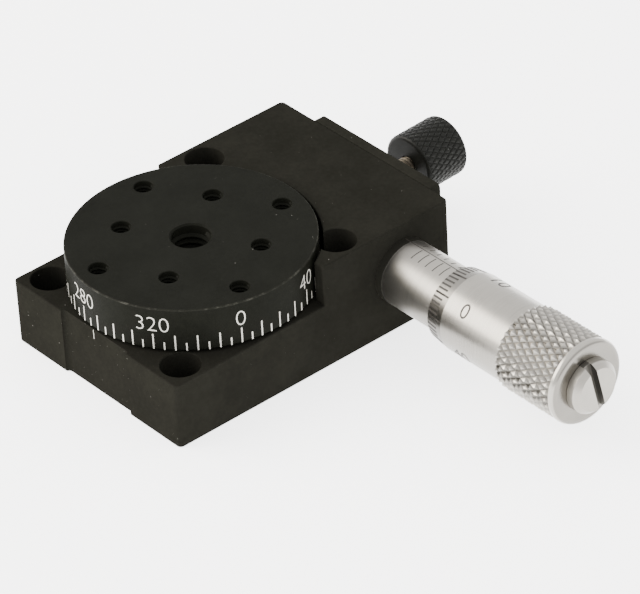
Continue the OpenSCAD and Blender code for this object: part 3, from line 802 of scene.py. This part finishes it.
def plate_body(size):
    low, high = PLATE_LOW, PLATE_HIGH
    thick, rim = high.x - low.x, size.rim_break / MM
    plate = slab(low, high)
    edge_bevelled(plate, CORNER_R, 6, lambda e: sharp(e) and reach(e, 0) > 0.5)
    edge_bevelled(plate, 0.8 * size.edge_round / MM, 4, sharp)
    slot = stadium(PLATE_SLOT_HALF, PLATE_SLOT_R, -PAST, thick + PAST)
    cutters = [moved(slot, (low.x, 0, CLAMP_Z), (0, 90, 0))]
    for y in (low.y + PLATE_HOLE_IN, high.y - PLATE_HOLE_IN):
        for z in (low.z + PLATE_HOLE_IN, high.z - PLATE_HOLE_IN):
            hole = turned([(0, -PAST), (PLATE_HOLE_R, -PAST),
                           (PLATE_HOLE_R, thick - PLATE_HEAD_DEPTH), (PLATE_HEAD_R, thick),
                           (PLATE_HEAD_R + rim, thick + 0.01), (PLATE_HEAD_R + rim, thick + PAST),
                           (0, thick + PAST)], 48)
            cutters.append(moved(hole, (low.x, y, z), (0, 90, 0)))
    return carve(plate, *cutters)


class BaseBlock(bpy.types.Operator):
    """Builds the stepped base block with its bores and the index line"""
    bl_idname = "rotation_stage.base_block"
    bl_label = "Base block"

    def execute(self, context):
        size = settings().base
        block = carve(block_body(size), *base_cutters(size))
        settle(smooth(block), "base_block", "base", "block_anodised",
               anodised("black_anodised_block", tuple(size.colour), 0.5), "housing")
        index_line(marking("white_index_line", INDEX_WHITE, 0.25))
        return {"FINISHED"}


class EndPlate(bpy.types.Operator):
    """Builds the end plate that the clamp screw passes through"""
    bl_idname = "rotation_stage.end_plate"
    bl_label = "End plate"

    def execute(self, context):
        size = settings().base
        # The plate is coloured lighter than the block: a painted sheen
        settle(smooth(plate_body(size)), "end_cover_plate", "base", "plate_anodised",
               anodised("black_anodised_plate_painted_sheen", lighter(size.colour, 1.15), 0.46), "end_plate")
        return {"FINISHED"}


# ---- Rotary table ----------------------------------------------------------

def table_holes():
    """Places of the eight small threaded holes."""
    a = math.radians(HOLE_TURN)
    for u in (-1, 0, 1):
        for v in (-1, 0, 1):
            if u or v:
                x, y = u * HOLE_PITCH, v * HOLE_PITCH
                yield x * math.cos(a) - y * math.sin(a), x * math.sin(a) + y * math.cos(a)


def table_body():
    top, r = TABLE_HIGH.z, TABLE_R
    table = turned([(0, HUB_LOW), (NUT_SEAT_R, HUB_LOW), (NUT_SEAT_R, BEARING_LOW),
                    (RING_SEAT_R, BEARING_LOW), (RING_SEAT_R, BEARING_HIGH),
                    (SHOULDER_R, BEARING_HIGH), (SHOULDER_R, SHOULDER_HIGH),
                    (HUB_R, SHOULDER_HIGH), (HUB_R, RIM_LOW), (r - RIM_CHAMFER, RIM_LOW),
                    (r, RIM_LOW + RIM_CHAMFER), (r, top - RIM_TOP_R), (r - 0.02, top - 0.05),
                    (r - 0.05, top - 0.02), (r - RIM_TOP_R, top), (0, top)], 192)
    carve(table, turned([(0, -PAST), (CENTRE_RELIEF_R, -PAST), (CENTRE_RELIEF_R, CENTRE_START),
                         (CENTRE_R, CENTRE_START), (CENTRE_R, top - CENTRE_LEAD),
                         (CENTRE_R + CENTRE_LEAD, top), (CENTRE_R + CENTRE_LEAD, top + PAST),
                         (0, top + PAST)], 64))
    for x, y in table_holes():
        hole = turned([(0, top - SMALL_DEPTH - SMALL_POINT), (SMALL_R, top - SMALL_DEPTH),
                       (SMALL_R, top - SMALL_LEAD), (SMALL_R + SMALL_LEAD, top),
                       (SMALL_R + SMALL_LEAD, top + PAST), (0, top + PAST)], 40)
        carve(table, moved(hole, (x, y, 0)))
    return table


def table_threads():
    """The thread in the centre hole and in the eight small holes."""
    top = TABLE_HIGH.z
    small = thread(SMALL_R, 0.86, 0.4, 8, top - 3.6, 20)
    ridges = [copied(small, (x, y, 0)) for x, y in table_holes()]
    bpy.data.objects.remove(small)
    return [thread(CENTRE_R, 1.72, 0.7, 7, top - 5.65, 40)] + ridges


def worn_rim(coat):
    """1 where the rotary table's top edge is lighter: partly rubbed bright, partly a painted
    highlight.
    """
    x, y, z = coat.place.parts()
    out = (x ** 2 + y ** 2) ** 0.5
    edge = (out + z > TABLE_R + TABLE_HIGH.z - 0.16) * (out > TABLE_R - 0.11)
    patchy = coat.noise(0.9, 5, 0.75).ramp(0.48, 0.72)
    return edge * (0.1 + 0.8 * patchy)


def degree_marks(size):
    """All the marks round the rim, long ones every ten degrees."""
    half, r = size.mark_width / MM / 2, TABLE_R
    low = RIM_LOW + MARK_LIFT
    marks = []
    for height, offset in ((size.long_mark / MM, 0), (size.short_mark / MM, 5)):
        mark = slab((r - 0.05, -half, low), (r + 0.009, half, low + height))
        edge_bevelled(mark, 0.03, 2, lambda e: sharp(e) and reach(e, 0) > 0.02)
        repeated(mark, 36, 10)
        marks.append(moved(mark, turn=(0, 0, ZERO_MARK + offset)))
    return joined(marks)


def degree_numerals(size):
    height = size.numeral_height / MM
    middle_z = RIM_LOW + MARK_LIFT + size.long_mark / MM + NUMERAL_GAP + height / 2
    return joined([wrapped(numeral(str(value), height, 0.02), TABLE_R - SIGN_SUNK,
                           ZERO_MARK + value, middle_z)
                   for value in range(0, 360, size.numeral_step)])


class RotaryTable(bpy.types.Operator):
    """Builds the round table with its threaded holes, degree marks and numerals"""
    bl_idname = "rotation_stage.rotary_table"
    bl_label = "Rotary table"

    def execute(self, context):
        size = settings().table
        table = joined([smooth(table_body(), 25)] + [smooth(t) for t in table_threads()])
        settle(table, "round_table", "table", "table_anodised",
               anodised("black_anodised_table", tuple(size.colour), 0.42, 0.01, worn_rim),
               "rotary_table")
        white = marking("white_degree_paint", tuple(size.paint), 0.3)
        settle(degree_marks(size), "degree_marks", "table", "table_anodised", white)
        settle(degree_numerals(size), "degree_numerals", "table", "table_anodised", white)
        return {"FINISHED"}


# ---- Micrometer ------------------------------------------------------------

def sleeve_marks():
    """The sleeve's datum line, millimetre marks and half-millimetre marks."""
    r = SLEEVE_R
    marks = [arc_mark(r, 12.6, BEVEL_START - 0.05, 79.6, 81.4)]
    for i in range(SLEEVE_MARKS):
        y = SLEEVE_MARK_START + SLEEVE_MARK_STEP * i
        marks.append(arc_mark(r, y - 0.06, y + 0.06, 84, 109.5))
        marks.append(arc_mark(r, y - 0.64, y - 0.5, 62, 74))
    return joined(marks)


def thimble_barrel():
    """The thimble's bevel and barrel, and the tube that carries the grip."""
    bore, tube, seat, floor, end = 3.51, 4, 1.78, 33.1, 38.3
    return turned([(bore, BEVEL_START), (BEVEL_R - 0.05, BEVEL_START),
                   (BEVEL_R, BEVEL_START + 0.05), (BARREL_R - 0.015, BEVEL_END),
                   (BARREL_R, BEVEL_END + 0.1), (BARREL_R, GRIP_START + 0.01),
                   (tube, GRIP_START + 0.05), (tube, end), (seat, end), (seat, floor),
                   (bore, floor), (bore, BEVEL_START)], 160)


def thimble_grip(size):
    """The knurled end of the thimble, whose grooves run out in a smooth band."""
    r, end, bore, run_out = GRIP_R, THIMBLE_END, GRIP_BORE_R, KNURL_END - 0.55
    grip = turned([(bore, GRIP_START), (r - 0.04, GRIP_START), (r, GRIP_START + 0.04),
                   (r, KNURL_END), (bore, KNURL_END), (bore, GRIP_START)], 128)
    depth = size.knurl_depth / MM
    roller = knurled(r - depth, depth, size.knurl_count, KNURL_PITCH, KNURL_ROWS,
                     GRIP_START - 0.1 - KNURL_PITCH / 2, 0.3)
    carve(grip, moved(roller, turn=(0, 0, KNURL_TURN)), how="INTERSECT")
    band = turned([(bore + 0.1, run_out), (r - 0.4, run_out), (r, KNURL_END)]
                  + arc((r - GRIP_ROUND, end - GRIP_ROUND - 0.05), GRIP_ROUND, 0, 80, 6)
                  + [(r - GRIP_ROUND - 0.12, end), (2, end), (2, end - 0.7), (bore, end - 0.7),
                     (bore, KNURL_END), (bore + 0.1, run_out)], 136)
    return joined([grip, band])


def thimble_marks(size):
    """The divisions on the thimble's bevel, every fifth one longer."""
    tilt = math.degrees(math.atan2(BARREL_R - BEVEL_R, 2.15))
    marks = []
    for end, spots in ((2.05, size.divisions // 5), (1.45, size.divisions)):
        mark = slab((-SUNK, -0.1, 0.06), (PROUD, 0.1, end))
        moved(mark, (BEVEL_R, 0, BEVEL_START), (0, tilt, 0))
        repeated(mark, spots, 360 / spots)
        marks.append(moved(mark, turn=(0, 0, THIMBLE_ZERO)))
    return joined(marks)


def thimble_numerals():
    """0 to 40 round the barrel, a fifth of a turn apart."""
    return joined([wrapped(numeral(str(10 * i), 1.55, 0.004), BARREL_R - SIGN_SUNK,
                           THIMBLE_ZERO + 3.6 - 72 * i, 25.09, upright=False) for i in range(5)])


def cap_body():
    """The cap on the thimble's end, with its screwdriver slot."""
    start, end, r = THIMBLE_END, CAP_END, CAP_R
    cap = turned([(0, start - 0.6), (1.95, start - 0.6), (1.95, start), (r - 0.04, start),
                  (r, start + 0.04), (r, end - 0.62), (r - 0.04, end - 0.5), (r - 0.42, end - 0.09),
                  (r - 0.52, end), (0, end)], 96)
    slot = slab((-4, -SLOT_W / 2, end - SLOT_DEPTH), (4, SLOT_W / 2, end + PAST))
    carve(cap, moved(slot, turn=(0, 0, SLOT_ANGLE)))
    return finish_with(cap, "BEVEL", width=0.035, segments=2, limit_method="ANGLE",
                       angle_limit=math.radians(50))


def sleeve_shadow(metal):
    """Darkens the sleeve where it leaves the block."""
    return metal.place.parts()[1].ramp(-17.0, -13.6) * 0.35


def sleeve_collar(metal):
    """The blackened collar of the sleeve, at the block."""
    return metal.place.parts()[1].ramp(-COLLAR_END - 0.09, -COLLAR_END)


def bevel_shadow(metal):
    """Paints shade on the thimble's bevel under its divisions by darkening it."""
    return metal.place.parts()[1].ramp(-BEVEL_END - 0.12, -BEVEL_END - 0.02) * 0.42


def slot_shadow(metal):
    """Darkens the walls of the cap's slot."""
    x, y, z = metal.place.parts()
    a = math.radians(SLOT_ANGLE)
    across = abs((z - MIC_Z) * math.cos(a) - (x - MIC_X) * math.sin(a))
    return 0.75 * (across < SLOT_W / 2 + 0.01) * (y > 0.06 - CAP_END)


def groove_shadow(metal):
    """Darkens the bottoms of the thimble's knurl."""
    x, _, z = metal.place.parts()
    out = ((x - MIC_X) ** 2 + (z - MIC_Z) ** 2) ** 0.5
    return 0.5 * (1 - out.ramp(GRIP_R - 0.21, GRIP_R - 0.07))


class Sleeve(bpy.types.Operator):
    """Finishes the micrometer's sleeve and adds its marks"""
    bl_idname = "rotation_stage.sleeve"
    bl_label = "Micrometer sleeve"

    def execute(self, context):
        size = settings().micrometer
        dress("micrometer_sleeve",
              turned_metal("satin_chrome_sleeve", tuple(size.colour), 0.36, "Y", (MIC_X, 0, MIC_Z),
                           0.15, 0.12, sleeve_shadow, sleeve_collar))
        settle(on_micrometer(sleeve_marks()), "sleeve_marks", "base", "satin_chrome",
               marking("sleeve_ink", tuple(size.ink), 0.3))
        return {"FINISHED"}


class Thimble(bpy.types.Operator):
    """Builds the thimble: barrel, knurled grip, divisions, numerals and slotted cap"""
    bl_idname = "rotation_stage.thimble"
    bl_label = "Thimble"

    def execute(self, context):
        size = settings().micrometer
        colour, centre = tuple(size.colour), (MIC_X, 0, MIC_Z)
        chrome = turned_metal("satin_chrome_thimble", colour, 0.29, "Y", centre, 0.18, 0.12,
                              bevel_shadow)
        capped = turned_metal("satin_chrome_cap", colour, 0.4, "Y", centre, 0.2, 0.15, slot_shadow)
        bright = turned_metal("chrome_knurl", lighter(colour, 1.12), 0.24, "Y", centre, 0.2,
                              shadow=groove_shadow)
        ink = marking("thimble_ink", tuple(size.ink), 0.3)
        for piece, name, finish, nodes in (
                (smooth(thimble_barrel(), 25), "thimble_barrel", chrome, ["thimble"]),
                (smooth(thimble_grip(size), 24), "thimble_grip", bright, ["thimble"]),
                (thimble_marks(size), "thimble_marks", ink, []),
                (thimble_numerals(), "thimble_numerals", ink, []),
                (smooth(cap_body()), "slotted_cap", capped, ["thimble_cap"])):
            settle(on_micrometer(piece), name, "thimble_body", "thimble_chrome", finish, *nodes)
        return {"FINISHED"}


# ---- Clamp -----------------------------------------------------------------

def knob_body(size):
    start, end, r, face = KNOB_START, KNOB_END, KNOB_R, KNOB_R - KNOB_ROUND
    knob = turned([(0, start), (face, start)]
                  + arc((face, start + KNOB_ROUND), KNOB_ROUND, -70, 0, 5)
                  + arc((face, end - KNOB_ROUND), KNOB_ROUND, 0, 70, 5)
                  + [(face, end), (0, end)], 96)
    depth = size.knurl_depth / MM
    pitch = TAU * r / size.knurl_count * 1.725
    rows = math.ceil((end - start + PAST) / pitch)
    roller = knurled(r - depth, depth, size.knurl_count, pitch, rows, start - 0.45, 0.14)
    carve(knob, moved(roller, turn=(0, 0, KNURL_TURN)), how="INTERSECT")
    hole_end = start + 3.15
    return carve(knob, turned([(0, start - PAST), (1.1, start - PAST), (1.1, start),
                               (1, start + 0.1), (1, hole_end), (0, hole_end)], 40))


def screw_body():
    """The clamp screw: a dog point, a core and a rolled thread."""
    core, point = SHANK_CORE_R, SHANK_CORE_R - 0.1
    shank = turned([(0, SHANK_START), (point, SHANK_START), (point, SHANK_START + 0.5),
                    (core, SHANK_START + 0.5), (core, SHANK_END), (0, SHANK_END)], 40)
    ridge = thread(core, SHANK_CREST_R, 0.4, 45, SHANK_START + 0.8, 24)
    return joined([smooth(shank), smooth(ridge)])


class ClampScrew(bpy.types.Operator):
    """Builds the threaded clamp screw and its knurled knob"""
    bl_idname = "rotation_stage.clamp_screw"
    bl_label = "Clamp screw and knob"

    def execute(self, context):
        size = settings().clamp
        settle(on_clamp(smooth(knob_body(size), 24)), "knurled_knob", "clamp_screw_body",
               "knob_black", blackened("blackened_knob", tuple(size.colour)), "clamp_knob")
        settle(on_clamp(screw_body()), "threaded_shank", "clamp_screw_body", "shank_steel",
               milled_metal("dull_shank_steel", SHANK_STEEL, 0.5), "clamp_screw")
        return {"FINISHED"}


# ---- Inner pieces ----------------------------------------------------------

def dress(node, finish):
    """Gives a piece of the frame its finish."""
    mesh = frame["nodes"][node].data
    mesh.materials.clear()
    mesh.materials.append(finish)


class InnerPieces(bpy.types.Operator):
    """Finishes the bearing, the tangent arm, the spring, the spindle and the small screws"""
    bl_idname = "rotation_stage.inner_pieces"
    bl_label = "Inner pieces"

    def execute(self, context):
        mic, hub = (MIC_X, 0, MIC_Z), (0, 0, 0)
        ground = turned_metal("ground_bearing_steel", (0.56, 0.57, 0.58), 0.26, "Z", hub)
        polished = turned_metal("polished_balls", (0.66, 0.66, 0.67), 0.12, "Z", hub, 0.1, 0.1)
        brass = turned_metal("turned_brass", BRASS, 0.32, "Z", hub)
        black = blackened("black_oxide", (0.028, 0.028, 0.029), 0.38)
        for node, finish in {
            "bearing_outer_ring": ground,
            "bearing_inner_ring": ground,
            "bearing_balls": polished,
            "anvil_ball": polished,
            "bearing_cage": brass,
            "arm_washer": brass,
            "bearing_retainer": black,
            "hub_nut": black,
            "end_plate_screws": black,
            "sleeve_set_screw": black,
            "spring_plug": black,
            "spring_plunger": turned_metal("turned_brass_plunger", BRASS, 0.3, "Y", mic),
            "clamp_pin": turned_metal("turned_brass_pin", BRASS, 0.3, "X", (0, 0, CLAMP_Z)),
            "spindle": turned_metal("ground_spindle", (0.6, 0.6, 0.61), 0.18, "Y", mic),
            "adjusting_nut": turned_metal("satin_chrome_nut", (0.7, 0.7, 0.69), 0.34, "Y", mic),
            "tangent_arm": milled_metal("milled_arm_steel", (0.3, 0.3, 0.31), 0.4),
            "return_spring": milled_metal("drawn_spring_wire", (0.4, 0.4, 0.41), 0.3),
        }.items():
            dress(node, finish)
        return {"FINISHED"}


# ---- Studio ----------------------------------------------------------------

def pale_floor(look):
    floor = Finish("pale_floor")
    shift = floor.noise(0.02, 2)
    colour = tuple(look.floor)
    floor.set(Base_Color=shift.mix(lighter(colour, 0.985), colour), Roughness=0.85,
              Specular_IOR_Level=0.1, Emission_Color=(1.0, 1.0, 1.0), Emission_Strength=look.glow)
    bpy.ops.mesh.primitive_plane_add(size=6)
    plane = bpy.context.object
    plane.name = "floor"
    plane.data.materials.append(floor.material)


def soft_sky(look):
    world = bpy.data.worlds.new("soft_sky")
    world.use_nodes = True
    sky = world.node_tree.nodes["Background"]
    sky.inputs["Color"].default_value = (1, 1, 1, 1)
    sky.inputs["Strength"].default_value = look.sky
    bpy.context.scene.world = world


def key_light(look):
    bpy.ops.object.light_add(type="AREA", location=LAMP_AT)
    light = bpy.context.object
    light.name = "key_light"
    light.data.shape = "RECTANGLE"
    light.data.size, light.data.size_y = LAMP_SIZE
    light.data.energy = look.key
    light.data.color = LAMP_COLOUR
    light.rotation_mode = "QUATERNION"
    light.rotation_quaternion = (-Vector(LAMP_AT)).to_track_quat("-Z", "Y")


def main_camera():
    bpy.ops.object.camera_add()
    camera = bpy.context.object
    camera.name = "camera"
    turn = Matrix((CAMERA_RIGHT, CAMERA_UP, CAMERA_BACK)).transposed().to_4x4()
    camera.matrix_world = Matrix.Translation(CAMERA_AT) @ turn
    camera.data.sensor_width = 36
    camera.data.sensor_fit = "HORIZONTAL"
    camera.data.lens = CAMERA_LENS
    camera.data.clip_start = 0.01
    bpy.context.scene.camera = camera


class Studio(bpy.types.Operator):
    """Sets up the pale floor, the soft light and the camera"""
    bl_idname = "rotation_stage.studio"
    bl_label = "Studio"

    def execute(self, context):
        look = settings().studio
        pale_floor(look)
        soft_sky(look)
        key_light(look)
        main_camera()
        return {"FINISHED"}


# ---- Panel and registration ------------------------------------------------

PIECES = (BaseBlock, EndPlate, RotaryTable, Sleeve, Thimble, ClampScrew, InnerPieces, Studio)


class RotationStagePanel(bpy.types.Panel):
    """Lists the pieces of the rotation stage and their sizes and colours"""
    bl_idname = "VIEW3D_PT_rotation_stage"
    bl_label = "Rotation stage"
    bl_space_type = "VIEW_3D"
    bl_region_type = "UI"
    bl_category = "Rotation Stage"

    def draw(self, context):
        for piece in PIECES:
            self.layout.operator(piece.bl_idname)
        for group in ("base", "table", "micrometer", "clamp", "studio"):
            box = self.layout.box()
            box.label(text=group.capitalize())
            values = getattr(context.scene.rotation_stage, group)
            for name in type(values).__annotations__:
                box.prop(values, name)


CLASSES = (BaseSettings, TableSettings, MicrometerSettings, ClampSettings, StudioSettings,
           RotationStageSettings, *PIECES, RotationStagePanel)


def register():
    for item in CLASSES:
        bpy.utils.register_class(item)
    bpy.types.Scene.rotation_stage = PointerProperty(type=RotationStageSettings)


def unregister():
    del bpy.types.Scene.rotation_stage
    for item in reversed(CLASSES):
        bpy.utils.unregister_class(item)


def main():
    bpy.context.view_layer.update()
    register()
    for piece in PIECES:
        group, name = piece.bl_idname.split(".")
        getattr(getattr(bpy.ops, group), name)()


if __name__ == "__main__":
    main()
